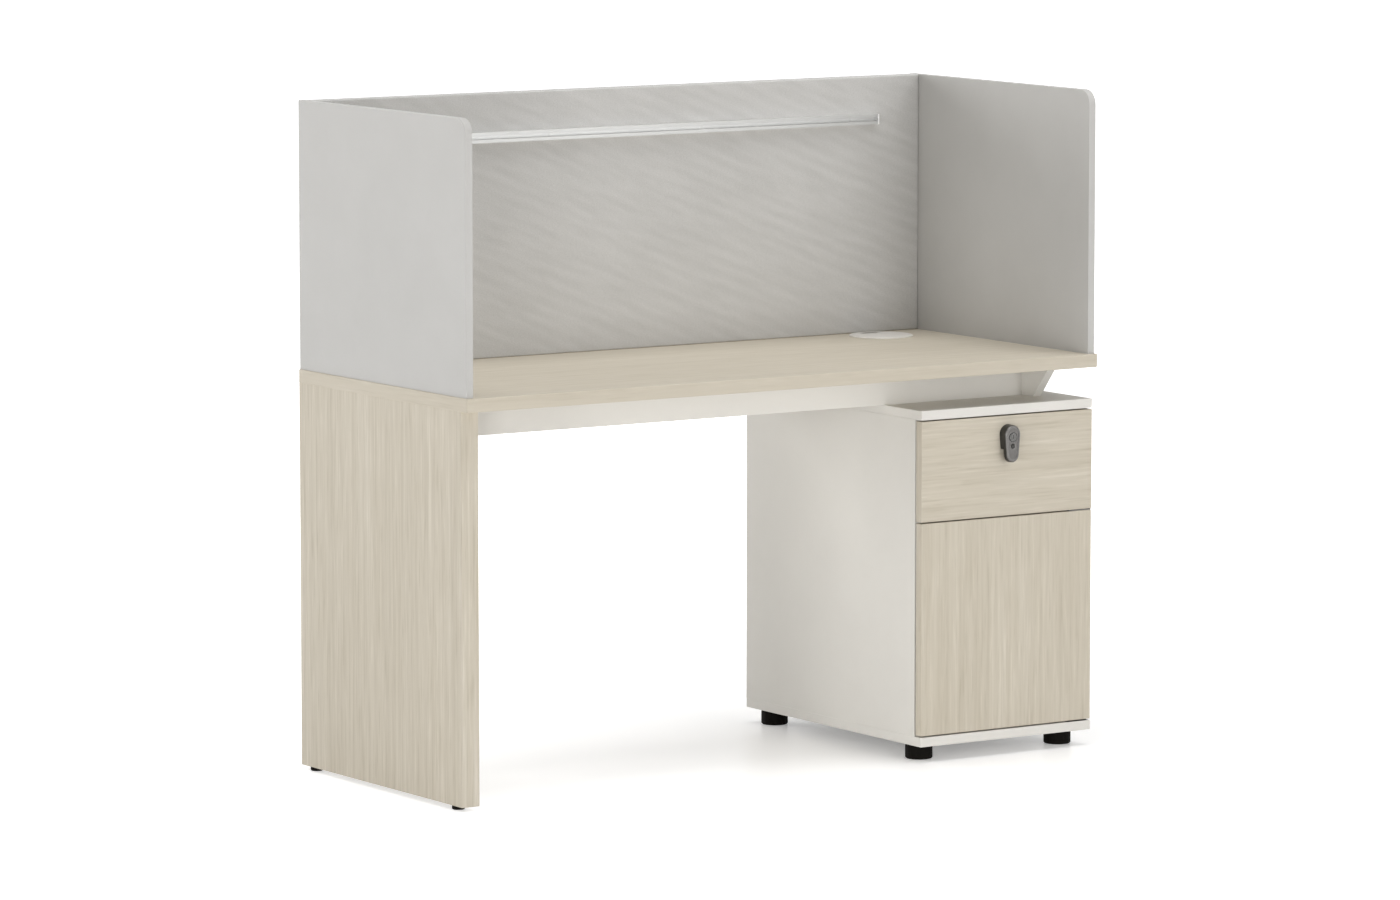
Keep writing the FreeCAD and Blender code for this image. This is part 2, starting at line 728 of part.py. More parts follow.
def make_drawer():
    screws = Screws(drawer_screw_long)
    add_slide_screws(screws, box_x0 - slide_steel - screw_head, 1)
    tray = block(box_x0 + drawer_wall - groove + fit, box_x1 - drawer_wall + groove - fit,
                 front_back_y - groove + fit, box_y1 - drawer_floor_inset, tray_z0, tray_z0 + drawer_floor)
    tray_room = block(box_x0 + drawer_wall - groove, box_x1 - drawer_wall + groove,
                      front_back_y - groove, box_y1, tray_z0 - fit, tray_z0 + drawer_floor + fit)
    left = block(box_x0, box_x0 + drawer_wall, front_back_y, box_y1, box_z0, box_z1)
    back = block(box_x0 + drawer_wall, box_x1 - drawer_wall, box_y1 - drawer_wall, box_y1,
                 tray_z0 + drawer_floor + fit, box_z1)
    front = eased(block(ped_x0, ped_x1, ped_y0, front_back_y, drawer_z0, drawer_z1))
    barrel_hole = rod(V(ped_mid_x, ped_y0, lock_z), Y, barrel_r + fit, front_thick)
    export("drawer_front", drawer_dowels.bored(cut_all(front, [tray_room, barrel_hole])))
    export("drawer_side_left", screws.bored(drawer_dowels.bored(left.cut(tray_room))))
    export("drawer_side_right", screws.bored(drawer_dowels.bored(mirrored(left).cut(tray_room))))
    export("drawer_back", drawer_dowels.bored(back))
    export("drawer_bottom", tray)
    export("slide_screws_drawer", *screws.bodies)
    export("drawer_dowels", *drawer_dowels.pegs)
    make_slides(screws)


def egg(y, shrink):
    """Egg-shaped outline of the lock at depth y, drawn in by shrink."""
    r1 = lock_wide / 2 - shrink
    r2 = lock_tip_wide / 2 - shrink
    drop = lock_tall - lock_wide / 2 - lock_tip_wide / 2
    lean = math.asin((r1 - r2) / drop)
    c = math.cos(lean)
    s = math.sin(lean)

    def spot(r, cx, cz):
        return V(ped_mid_x + r * cx, y, lock_head_z + cz)

    a = spot(r1, c, -r1 * s)
    b = spot(r1, -c, -r1 * s)
    d = spot(r2, -c, -drop - r2 * s)
    e = spot(r2, c, -drop - r2 * s)
    edges = [Part.Arc(a, spot(0, 0, r1), b).toShape(), Part.makeLine(b, d)]
    edges += [Part.Arc(d, spot(0, 0, -drop - r2), e).toShape(), Part.makeLine(e, a)]
    return Part.Wire(edges)


def make_lock():
    shoulder_y = lock_face_y + lock_chamfer
    rings = [egg(ped_y0, 0), egg(shoulder_y, lock_chamfer / 3), egg(lock_face_y, lock_chamfer)]
    body = Part.makeLoft(rings, True, True)
    sink = Part.Face(egg(lock_face_y, lock_chamfer + lock_rim)).extrude(V(0, lock_sink, 0))
    seat = rod(V(ped_mid_x, lock_face_y, lock_z), Y, lock_seat_r, lock_sink + lock_seat_deep)
    scoop_y = lock_face_y + lock_sink + lock_scoop_deep - lock_scoop_r
    scoop = Part.makeSphere(lock_scoop_r, V(ped_mid_x, scoop_y, lock_z - lock_scoop_drop))
    low_z = lock_head_z + lock_wide / 2 - lock_tall
    finger = block(ped_mid_x - lock_wide, ped_mid_x + lock_wide, ped_y0 - lock_finger_gap, ped_y0,
                   low_z - lock_rim, low_z + lock_finger_tall)
    barrel = rod(V(ped_mid_x, ped_y0, lock_z), Y, barrel_r, barrel_y1 - ped_y0)
    bore = rod(V(ped_mid_x, lock_face_y, lock_z), Y, plug_r + fit, barrel_y1 - lock_face_y)
    shell = cut_all(body, [sink, finger]).cut(seat).cut(scoop)
    export("lock_housing", shell.fuse(barrel).cut(bore).removeSplitter())
    make_lock_inside()


def square_bar(side, y0, y1):
    """Square bar along the lock's axis."""
    half = side / 2
    return block(ped_mid_x - half, ped_mid_x + half, y0, y1, lock_z - half, lock_z + half)


def make_lock_inside():
    axis = V(ped_mid_x, 0, lock_z)
    plug_y0 = lock_face_y + plug_recess
    cam_y0 = barrel_y1 + cam_gap
    cam_y1 = cam_y0 + cam_thick
    plug = rod(axis + Y * plug_y0, Y, plug_r, cam_y0 - plug_y0)
    key = block(ped_mid_x - key_wide / 2, ped_mid_x + key_wide / 2, plug_y0, plug_y0 + key_deep,
                lock_z - key_tall / 2, lock_z + key_tall / 2)
    tap = rod(axis + Y * (cam_y1 - cam_screw_in - end_play), Y, cam_screw_r + fit, cam_screw_in + end_play)
    export("lock_plug", cut_all(plug.fuse(square_bar(tang, cam_y0, cam_y1)), [key, tap]).removeSplitter())
    boss = rod(axis + Y * cam_y0, Y, cam_boss_r, cam_thick)
    arm = block(ped_mid_x, ped_mid_x + cam_long, cam_y0, cam_y1, lock_z - cam_wide / 2, lock_z + cam_wide / 2)
    export("lock_cam", boss.fuse(arm).cut(square_bar(tang + 2 * fit, cam_y0, cam_y1)).removeSplitter())
    screw = [(0, -cam_screw_head), (cam_screw_head_r, -cam_screw_head), (cam_screw_head_r, 0)]
    screw += [(cam_screw_r, 0), (cam_screw_r, cam_screw_in), (0, cam_screw_in)]
    export("cam_screw", turned(screw, axis + Y * cam_y1, Y * -1))
    make_lock_nut(axis)


def make_lock_nut(axis):
    corner_r = nut_flat / math.sqrt(3)
    corners = []
    for i in range(6):
        angle = math.radians(60 * i + 30)
        corners.append(axis + V(corner_r * math.cos(angle), front_back_y, corner_r * math.sin(angle)))
    nut = outline(corners).extrude(V(0, nut_thick, 0))
    export("lock_nut", nut.cut(rod(axis + Y * front_back_y, Y, barrel_r + fit, nut_thick)))


def make_strike():
    y0 = strike_y
    section = [(y0, ceiling_z), (y0 + strike_deep, ceiling_z), (y0 + strike_deep, ceiling_z - strike_thick)]
    section += [(y0 + strike_thick, ceiling_z - strike_thick), (y0 + strike_thick, ceiling_z - strike_tall)]
    section += [(y0, ceiling_z - strike_tall)]
    face = outline([V(ped_mid_x - strike_wide / 2, y, z) for y, z in section])
    export("lock_strike", hardware.bored(face.extrude(V(strike_wide, 0, 0))))


def leaf(z0):
    """L-shaped hinge leaf: a tongue across the door's edge and a tail on the board behind."""
    tongue = (ped_x1 - leaf_long, ped_x1 - leaf_play, ped_y0 + leaf_play, carcass_y0 - leaf_play / 2)
    tail_x1 = inner_x1 - leaf_play
    tail_y1 = carcass_y0 + leaf_back
    points = [(tongue[0], tongue[2]), (tongue[1], tongue[2]), (tongue[1], tongue[3]), (tail_x1, tongue[3])]
    points += [(tail_x1, tail_y1), (tongue[0], tail_y1)]
    return outline([V(x, y, z0) for x, y in points]).extrude(V(0, 0, hinge_leaf))


def bottom_leaf_recess():
    return leaf(floor_z - hinge_leaf)


def make_hinges():
    top = leaf(divider_z1)
    low = leaf(floor_z - hinge_leaf)
    axis = V(hinge_x, hinge_y, 0)
    low_z = floor_z - hinge_leaf
    pin_low = rod(axis + Z * low_z, Z, hinge_pin_r, door_z0 + hinge_pin_in - low_z)
    top_z = door_z1 - hinge_pin_in
    pin_top = rod(axis + Z * top_z, Z, hinge_pin_r, divider_z1 + hinge_leaf - top_z)
    hole = rod(axis + Z * ped_z0, Z, hinge_pin_r + fit, ped_z1 - ped_z0)
    export("hinge_leaves", hardware.bored(top.cut(hole)), hardware.bored(low.cut(hole)))
    export("hinge_pins", pin_low, pin_top)


def make_door():
    panel = eased(block(ped_x0, ped_x1, ped_y0, front_back_y, door_z0, door_z1), door_ease)
    deep = hinge_pin_in + end_play
    holes = []
    bushes = []
    for z in (door_z0, door_z1 - deep):
        start = V(hinge_x, hinge_y, z)
        holes.append(rod(start, Z, bush_r + fit, deep))
        bushes.append(rod(start, Z, bush_r, deep).cut(rod(start, Z, hinge_pin_r + fit, deep)))
    keeper = block(latch_x - keeper_size / 2, latch_x + keeper_size / 2, front_back_y, keeper_y,
                   latch_z - keeper_size / 2, latch_z + keeper_size / 2)
    export("door", cut_all(panel, holes))
    export("hinge_bushes", *bushes)
    export("latch_keeper", keeper)


def make_latch():
    body = eased(block(latch_x - latch_wide / 2, latch_x + latch_wide / 2, latch_y0, latch_y0 + latch_long,
                       divider_z0 - latch_tall, divider_z0))
    bore = rod(V(latch_x, latch_y0, latch_z), Y, plunger_r + fit, plunger_in + plunger_stroke + end_play)
    tip_y = keeper_y + touch_gap
    pin = rod(V(latch_x, tip_y, latch_z), Y, plunger_r, latch_y0 + plunger_in - tip_y)
    tip_edge = [e for e in pin.Edges if abs(e.CenterOfMass.y - tip_y) < touch_gap and len(e.Vertexes) == 1]
    export("latch_body", body.cut(bore))
    export("latch_plunger", pin.makeFillet(plunger_r / 4, tip_edge))


def main():
    place_hardware()
    place_desk_dowels()
    place_carcass_dowels()
    place_drawer_dowels()
    make_desktop()
    make_end_panel()
    make_beams()
    bolt_holes = make_gusset()
    make_screens()
    make_grommet()
    make_carcass(bolt_holes)
    make_hinges()
    make_drawer()
    make_lock()
    make_strike()
    make_door()
    make_latch()
    export("hardware_screws", *hardware.bodies)
    export("desk_dowels", *desk_dowels.pegs)
    export("carcass_dowels", *carcass_dowels.pegs)


main()
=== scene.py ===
import bpy
import math
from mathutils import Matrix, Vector


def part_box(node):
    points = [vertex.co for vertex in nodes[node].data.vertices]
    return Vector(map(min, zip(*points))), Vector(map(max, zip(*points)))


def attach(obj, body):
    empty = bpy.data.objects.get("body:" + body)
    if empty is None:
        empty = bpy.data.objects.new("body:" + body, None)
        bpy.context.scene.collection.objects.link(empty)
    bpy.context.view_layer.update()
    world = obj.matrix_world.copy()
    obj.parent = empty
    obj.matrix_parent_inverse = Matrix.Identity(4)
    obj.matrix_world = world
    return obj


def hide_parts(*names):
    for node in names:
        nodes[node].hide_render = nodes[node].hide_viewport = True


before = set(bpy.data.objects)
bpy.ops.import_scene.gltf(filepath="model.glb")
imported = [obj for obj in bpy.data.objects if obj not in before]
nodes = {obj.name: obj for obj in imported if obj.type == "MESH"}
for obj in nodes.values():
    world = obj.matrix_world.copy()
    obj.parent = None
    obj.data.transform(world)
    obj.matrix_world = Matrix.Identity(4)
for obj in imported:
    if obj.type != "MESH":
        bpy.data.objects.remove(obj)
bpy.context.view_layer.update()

# Grain and drawn metal: scales along the grain, which draw a texture out, and the shift on end faces
LONG_GRAIN = 0.02
SHORT_GRAIN = 0.055
HAIR_GRAIN = 0.02
END_GRAIN_SHIFT = 0.21

# Depths behind the front face, in metres, between which the lock changes its finish and the rail goes over
# to painted light inside its channel
LOCK_PLATE_DEPTHS = (0.0020, 0.0023)
RAIL_PAINTED_LIGHT_DEPTHS = (0.0012, 0.0020)

# Weave of the back screen's cloth: metres, radians, texture scale, and how far a slub is drawn out
RIB_PITCH = 0.025
RIB_SLANT = math.radians(21.3)
YARN_SCALE = 180.0
SLUB_STRETCH = 6.0

# Form of that cloth: metres, and counts of steps along its section and its width
CLOTH_RADIUS = 0.0035
CLOTH_THICKNESS = 0.001
CORNER_STEPS = 6
TOP_STEPS = 6
FACE_STEPS = 48
WIDTH_STEPS = 120

# A wave texture of scale 1 runs through this many radians in a metre
WAVE_RATE = 20.0

# Most values of a noise texture lie in this range
NOISE_RANGE = (0.3, 0.7)

# Floor and background, in metres and strengths, where a strength of 1 is white. The floor's glow is weakest
# at the pedestal and paints shade on the floor round it
FLOOR_REACH = 60.0
FLOOR_LEVEL = -0.0003
GLOW_IN_PAINTED_SHADE = 0.16
GLOW_REACH = 3.0
SKY_LIGHT = 0.045

# Lamps: name, azimuth and rise in degrees, size in metres, power in watts
LAMP_AIM = Vector((0.0, 0.0, 0.7))
LAMP_DISTANCE = 6.0
SOFTBOXES = (
    ("rear_left_low", -150, 14, 2.6, 142.0),
    ("rear_left_high", -150, 50, 3.6, 21.0),
    ("left_level", -70, 0, 1.2, 78.0),
    ("front_left_level", -45, 0, 1.2, 51.0),
    ("front_level", -20, 0, 1.2, 27.0),
    ("front_right_level", 15, 0, 1.2, 42.0),
    ("front_right_low", 20, 14, 2.6, 50.0),
    ("right_low", 55, 14, 2.6, 19.0),
    ("right_high", 55, 50, 3.6, 89.0),
    ("overhead", 0, 89, 4.0, 245.0),
)

# Camera: metres, degrees, and millimetres for the lens and its sensor
CAMERA_PLACE = (-7.08122, -10.73232, 2.12643)
CAMERA_DIP = 6.84392
CAMERA_TURN = -33.38432
CAMERA_LENS = 177.423
CAMERA_SENSOR = 36.0
CAMERA_REACH = 200.0


class Finish:
    """A procedural material laid out in the part's own space, in metres."""

    def __init__(self, name, **sockets):
        self.mat = bpy.data.materials.new(name)
        self.mat.use_nodes = True
        self.tree = self.mat.node_tree
        self.shader = self.tree.nodes["Principled BSDF"]
        for socket, value in sockets.items():
            self.shader.inputs[socket.replace("_", " ")].default_value = value
        coordinates = self.add("ShaderNodeTexCoord").outputs
        self.place = coordinates["Object"]
        self.facing = coordinates["Normal"]

    def add(self, kind, **props):
        node = self.tree.nodes.new(kind)
        for name, value in props.items():
            setattr(node, name, value)
        return node

    def feed(self, socket, source):
        """Link a socket to another one, or set its value."""
        if isinstance(source, bpy.types.NodeSocket):
            self.tree.links.new(source, socket)
        else:
            socket.default_value = source

    def feed_all(self, node, **sources):
        for name, source in sources.items():
            self.feed(node.inputs[name.replace("_", " ")], source)

    def mapped(self, how="POINT", **sockets):
        node = self.add("ShaderNodeMapping", vector_type=how)
        self.feed_all(node, Vector=self.place, **sockets)
        return node.outputs["Vector"]

    def scaled(self, along, share, shift=0.0):
        """Part space scaled along one axis and shifted along all three."""
        scale = [1.0, 1.0, 1.0]
        scale["XYZ".index(along)] = share
        return self.mapped(Scale=scale, Location=(shift, shift, shift))

    def axis(self, vector, name):
        node = self.add("ShaderNodeSeparateXYZ")
        self.feed_all(node, Vector=vector)
        return node.outputs[name]

    def noise(self, vector, scale, detail=3.0, rough=0.5, bend=0.0):
        node = self.add("ShaderNodeTexNoise")
        self.feed_all(node, Vector=vector, Scale=scale, Detail=detail, Roughness=rough, Distortion=bend)
        return node.outputs["Fac"]

    def wave(self, vector, scale, axis, bend, detail=2.0, grain=1.0):
        node = self.add("ShaderNodeTexWave", bands_direction=axis)
        self.feed_all(node, Vector=vector, Scale=scale, Distortion=bend, Detail=detail, Detail_Scale=grain)
        return node.outputs["Fac"]

    def ramp(self, fac, *stops):
        node = self.add("ShaderNodeValToRGB")
        band = node.color_ramp
        while len(band.elements) < len(stops):
            band.elements.new(0.5)
        for element, (at, colour) in zip(band.elements, stops):
            element.position = at
            element.color = (*colour, 1.0)
        self.feed_all(node, Fac=fac)
        return node.outputs["Color"]

    def mix(self, fac, a, b, how="MIX", kind="RGBA"):
        """Blend of two colours, or of two vectors where kind says so."""
        node = self.add("ShaderNodeMix", data_type=kind, blend_type=how)
        self.feed_all(node, Factor=fac)
        ends = [socket for socket in node.inputs if socket.type == kind and socket.name in "AB"]
        for socket, source in zip(ends, (a, b)):
            self.feed(socket, source if isinstance(source, bpy.types.NodeSocket) else (*source, 1.0))
        return [socket for socket in node.outputs if socket.type == kind][0]

    def tinted(self, base, tint, share=1.0):
        return self.mix(share, base, tint, "MULTIPLY")

    def span(self, value, old, new):
        """Map the range old onto the range new and hold the ends."""
        node = self.add("ShaderNodeMapRange")
        self.feed_all(node, Value=value, From_Min=old[0], From_Max=old[1], To_Min=new[0], To_Max=new[1])
        return node.outputs["Result"]

    def calc(self, operation, a, b):
        node = self.add("ShaderNodeMath", operation=operation)
        self.feed(node.inputs[0], a)
        self.feed(node.inputs[1], b)
        return node.outputs["Value"]

    def measure(self, operation, a, b):
        """A number worked out from two vectors."""
        node = self.add("ShaderNodeVectorMath", operation=operation)
        self.feed(node.inputs[0], a)
        self.feed(node.inputs[1], b)
        return node.outputs["Value"]

    def bump(self, height, distance, strength, below=None):
        node = self.add("ShaderNodeBump")
        self.feed_all(node, Height=height, Distance=distance, Strength=strength)
        if below is not None:
            self.feed_all(node, Normal=below)
        return node.outputs["Normal"]

    def rim(self, radius):
        """Mask that rises to 1 along the edges of a piece, within radius."""
        bevel = self.add("ShaderNodeBevel", samples=4)
        self.feed_all(bevel, Radius=radius)
        flat = self.add("ShaderNodeNewGeometry").outputs["Normal"]
        return self.span(self.measure("DOT_PRODUCT", bevel.outputs["Normal"], flat), (1.0, 0.8), (0.0, 1.0))

    def worn_and_highlit(self, base, radius, share, bare_and_highlit):
        """The base colour, going over to a lighter one along the edges of a piece: wear, and a painted
        highlight on the edges.
        """
        return self.mix(self.calc("MULTIPLY", self.rim(radius), share), base, bare_and_highlit)

    def behind(self, face_y, depths):
        """Mask that rises from 0 to 1 between two depths behind a front face."""
        return self.span(self.axis(self.place, "Y"), (face_y + depths[0], face_y + depths[1]), (0.0, 1.0))

    def colour(self, source):
        self.feed(self.shader.inputs["Base Color"], source)

    def rough(self, texture, mean, swing):
        """Roughness that falls from mean + swing to mean - swing as the texture rises."""
        level = self.span(texture, NOISE_RANGE, (mean + swing, mean - swing))
        self.feed(self.shader.inputs["Roughness"], level)

    def normal(self, source):
        self.feed(self.shader.inputs["Normal"], source)


def grain(f, along, ends, share, shift):
    """Space drawn out along the grain; faces square to the grain take theirs along another axis."""
    square = f.calc("POWER", f.axis(f.facing, along), 2.0)
    faces = f.scaled(along, share, shift)
    end_faces = f.scaled(ends, share, shift + END_GRAIN_SHIFT)
    return f.mix(f.span(square, (0.45, 0.55), (0.0, 1.0)), faces, end_faces, kind="VECTOR")


def wood(name, along, ends, shift=0.0, depth=1.0):
    """Pale straight-grained ash laminate: long soft streaks with short fine lines."""
    f = Finish(name, Specular_IOR_Level=0.3)
    long = grain(f, along, ends, LONG_GRAIN, shift)
    short = grain(f, along, ends, SHORT_GRAIN, shift)
    bands = f.noise(long, scale=22.0, detail=2.0)
    streaks = f.noise(long, scale=105.0, detail=5.0, rough=0.6, bend=0.12)
    lines = f.noise(short, scale=200.0, detail=2.0)
    base = f.ramp(streaks, (0.33, (0.494, 0.444, 0.356)), (0.46, (0.531, 0.482, 0.394)),
                  (0.56, (0.549, 0.500, 0.411)), (0.69, (0.593, 0.546, 0.461)))
    tone = f.ramp(bands, (0.35, (0.978, 0.976, 0.972)), (0.65, (1.014, 1.014, 1.014)))
    pores = f.ramp(lines, (0.30, (0.88, 0.87, 0.845)), (0.43, (1.0, 1.0, 1.0)),
                   (0.57, (1.0, 1.0, 1.0)), (0.70, (1.10, 1.105, 1.125)))
    base = f.tinted(f.tinted(base, tone), pores, share=0.8)
    base = f.mix(depth, (0.539, 0.490, 0.402), base)
    # Lighter edges: wear and a painted edge highlight
    f.colour(f.worn_and_highlit(base, radius=0.0012, share=0.25, bare_and_highlit=(0.66, 0.62, 0.545)))
    f.rough(lines, mean=0.55, swing=0.07)
    f.normal(f.bump(lines, distance=0.00012, strength=0.5,
                    below=f.bump(streaks, distance=0.0002, strength=0.35)))
    return f.mat


def laminate(name, tint, dark, rough):
    """Fine pebbled melamine face."""
    f = Finish(name, Specular_IOR_Level=0.35)
    cloud = f.noise(f.place, scale=6.0, rough=0.6)
    pebble = f.noise(f.place, scale=900.0, detail=2.0)
    speck = f.ramp(pebble, (0.30, (0.97, 0.97, 0.965)), (0.60, (1.0, 1.0, 1.0)))
    base = f.tinted(f.ramp(cloud, (0.3, dark), (0.7, tint)), speck)
    # Lighter edges: wear and a painted edge highlight
    f.colour(f.worn_and_highlit(base, radius=0.001, share=0.4, bare_and_highlit=(0.86, 0.845, 0.80)))
    f.rough(pebble, mean=rough, swing=0.06)
    f.normal(f.bump(pebble, distance=0.00006, strength=0.6))
    return f.mat


def raw_board():
    """Bare chipboard."""
    f = Finish("raw_board", Roughness=0.85, Specular_IOR_Level=0.2)
    chips = f.noise(f.place, scale=260.0, detail=4.0, rough=0.7, bend=0.4)
    f.colour(f.ramp(chips, (0.3, (0.30, 0.20, 0.11)), (0.5, (0.44, 0.32, 0.19)), (0.7, (0.56, 0.44, 0.29))))
    f.normal(f.bump(chips, distance=0.0004, strength=0.6))
    return f.mat


def beech():
    """Flecked wood of the dowels."""
    f = Finish("beech", Roughness=0.7, Specular_IOR_Level=0.3)
    fleck = f.noise(f.scaled("Z", 0.2), scale=500.0, rough=0.6)
    f.colour(f.ramp(fleck, (0.3, (0.42, 0.25, 0.12)), (0.6, (0.60, 0.40, 0.22))))
    f.normal(f.bump(fleck, distance=0.0002, strength=0.5))
    return f.mat


def cloth():
    """Grey woven cloth with broad slanting ribs on the back screen."""
    f = Finish("grey_fabric", Specular_IOR_Level=0.15, Sheen_Weight=0.25, Sheen_Roughness=0.5)
    across_ribs = f.mapped(Rotation=(0.0, -RIB_SLANT, 0.0))
    along_ribs = f.mapped("TEXTURE", Rotation=(0.0, RIB_SLANT, 0.0), Scale=(SLUB_STRETCH, 1.0, 1.0))
    rib_scale = math.tau / (WAVE_RATE * RIB_PITCH)
    ribs = f.wave(across_ribs, rib_scale, "Z", bend=2.2, detail=3.0, grain=1.6)
    slubs = f.noise(along_ribs, scale=65.0, detail=2.0)
    drift = f.noise(f.place, scale=14.0, rough=0.6)
    warp = f.wave(f.place, YARN_SCALE, "X", bend=0.6)
    weft = f.wave(f.place, YARN_SCALE, "Z", bend=0.6)
    heather = f.noise(f.scaled("Z", 3.0), scale=320.0, rough=0.65)
    base = f.ramp(heather, (0.30, (0.520, 0.511, 0.494)), (0.5, (0.580, 0.572, 0.555)),
                  (0.72, (0.650, 0.642, 0.626)))
    shade = f.ramp(ribs, (0.1, (0.968, 0.968, 0.965)), (0.9, (1.016, 1.016, 1.016)))
    uneven = f.ramp(slubs, (0.35, (0.972, 0.972, 0.97)), (0.65, (1.024, 1.024, 1.024)))
    ribbed = f.mix(f.span(drift, (0.35, 0.65), (0.15, 1.0)), base, f.tinted(base, shade))
    f.colour(f.tinted(ribbed, uneven))
    f.rough(heather, mean=0.885, swing=0.065)
    f.normal(f.bump(f.calc("MULTIPLY", warp, weft), distance=0.0004, strength=0.35,
                    below=f.bump(ribs, distance=0.0006, strength=0.25)))
    return f.mat


def hairlines(f, along):
    """Fine drawn lines of worked metal along one axis."""
    return f.noise(f.scaled(along, HAIR_GRAIN), scale=1800.0, rough=0.6)


def brushed(name, tint, dark, along, rough):
    """Metal with fine drawn lines along one axis."""
    f = Finish(name, Metallic=1.0)
    hair = hairlines(f, along)
    base = f.ramp(hair, (0.3, dark), (0.7, tint))
    # Lighter edges: wear and a painted edge highlight
    f.colour(f.worn_and_highlit(base, radius=0.0008, share=0.5, bare_and_highlit=(0.92, 0.92, 0.92)))
    f.rough(hair, mean=rough, swing=0.08)
    f.normal(f.bump(hair, distance=0.00003, strength=0.4))
    return f.mat


def moulded(name, tint, dark, rough, shine=0.45):
    """Spark-eroded moulded plastic."""
    f = Finish(name, Specular_IOR_Level=shine)
    pit = f.noise(f.place, scale=700.0, rough=0.6)
    scuff = f.noise(f.place, scale=45.0, detail=4.0, rough=0.65)
    base = f.ramp(scuff, (0.35, dark), (0.7, tint))
    # Lighter edges: wear and a painted edge highlight
    f.colour(f.worn_and_highlit(base, radius=0.001, share=0.25, bare_and_highlit=[min(1.0, level * 1.5) for level in tint]))
    f.rough(pit, mean=rough, swing=0.08)
    f.normal(f.bump(pit, distance=0.00008, strength=0.5))
    return f.mat


def cast(name, face_y):
    """Lock casting: a satin grey front plate on a black body."""
    f = Finish(name, Metallic=0.3)
    peel = f.noise(f.place, scale=1400.0, detail=2.0)
    mottle = f.noise(f.place, scale=120.0, rough=0.6)
    plate = f.ramp(mottle, (0.35, (0.108, 0.102, 0.096)), (0.65, (0.134, 0.127, 0.120)))
    # The plate's edges go much lighter: wear, and a painted highlight along the plate's bevel
    plate = f.worn_and_highlit(plate, radius=0.0009, share=0.7, bare_and_highlit=(0.50, 0.50, 0.50))
    body = f.ramp(peel, (0.3, (0.020, 0.019, 0.016)), (0.7, (0.034, 0.032, 0.028)))
    f.colour(f.mix(f.behind(face_y, LOCK_PLATE_DEPTHS), plate, body))
    f.rough(peel, mean=0.40, swing=0.06)
    f.normal(f.bump(peel, distance=0.00004, strength=0.5))
    return f.mat


def channel(name, face_y):
    """Satin aluminium rail, paler inside its channel: painted light where the channel's inside would be in
    shade.
    """
    f = Finish(name, Metallic=0.45)
    hair = hairlines(f, "X")
    lips = f.ramp(hair, (0.3, (0.47, 0.47, 0.46)), (0.7, (0.54, 0.54, 0.53)))
    # Paler colour inside the channel: painted light standing in for light reaching into the recess
    inside = f.ramp(hair, (0.3, (0.70, 0.70, 0.69)), (0.7, (0.78, 0.78, 0.77)))
    f.colour(f.mix(f.behind(face_y, RAIL_PAINTED_LIGHT_DEPTHS), lips, inside))
    f.rough(hair, mean=0.48, swing=0.06)
    f.normal(f.bump(hair, distance=0.00003, strength=0.4))
    return f.mat


def front_of(name):
    """The front face of a node, as its lowest Y."""
    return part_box(name)[0][1]


def dress(mat, *names):
    """Give the named nodes one material."""
    for name in names:
        data = nodes[name].data
        data.materials.clear()
        data.materials.append(mat)


def dress_boards():
    """Wood, white and grey boards, and what is inside them."""
    dress(wood("wood_upright", along="Z", ends="X"), "end_panel", "end_panel_edging")
    dress(wood("wood_across", along="X", ends="Y", shift=0.37, depth=0.5), "desktop_board", "desktop_edging")
    dress(wood("wood_drawer", along="X", ends="Z", shift=0.83, depth=0.9), "drawer_front")
    dress(wood("wood_door", along="Z", ends="X", shift=0.11, depth=0.85), "door")
    dress(laminate("white_board", (0.718, 0.699, 0.656), (0.692, 0.673, 0.631), rough=0.5),
          "front_beam", "rear_beam", "gusset", "ped_side_left", "ped_side_right", "ped_top", "ped_bottom",
          "ped_divider", "ped_back", "shelf", "drawer_side_left", "drawer_side_right", "drawer_back",
          "drawer_bottom")
    dress(laminate("grey_board", (0.510, 0.502, 0.484), (0.486, 0.478, 0.460), rough=0.55),
          "left_screen", "right_screen")
    dress(raw_board(), "back_screen_core")
    dress(beech(), "desk_dowels", "carcass_dowels", "drawer_dowels")


def dress_metal():
    """Rail, slides, screws, hinges and lock."""
    dress(channel("anodised", front_of("accessory_rail")), "accessory_rail")
    dress(brushed("zinc_steel", (0.72, 0.72, 0.71), (0.50, 0.50, 0.50), along="Y", rough=0.32),
          "gusset_bolts", "foot_screws", "shelf_pins", "slide_outer_left", "slide_outer_right",
          "slide_mid_left", "slide_mid_right", "slide_inner_left", "slide_inner_right",
          "slide_screws_drawer", "slide_cages_outer", "slide_cages_inner", "slide_balls_outer",
          "slide_balls_inner", "latch_keeper", "lock_strike", "lock_nut", "lock_cam", "cam_screw")
    dress(brushed("dull_zinc", (0.76, 0.76, 0.75), (0.64, 0.64, 0.63), along="Y", rough=0.6),
          "hardware_screws")
    # Near-black hinges: painted shade, so the door gap stays dark where the hinge leaf shows
    dress(brushed("painted_shade_black_steel", (0.055, 0.051, 0.046), (0.035, 0.032, 0.029), along="X", rough=0.5),
          "hinge_leaves", "hinge_pins")
    dress(cast("lock_grey", front_of("lock_housing")), "lock_housing")
    dress(brushed("lock_bright", (0.125, 0.123, 0.117), (0.085, 0.083, 0.079), along="X", rough=0.36),
          "lock_plug")


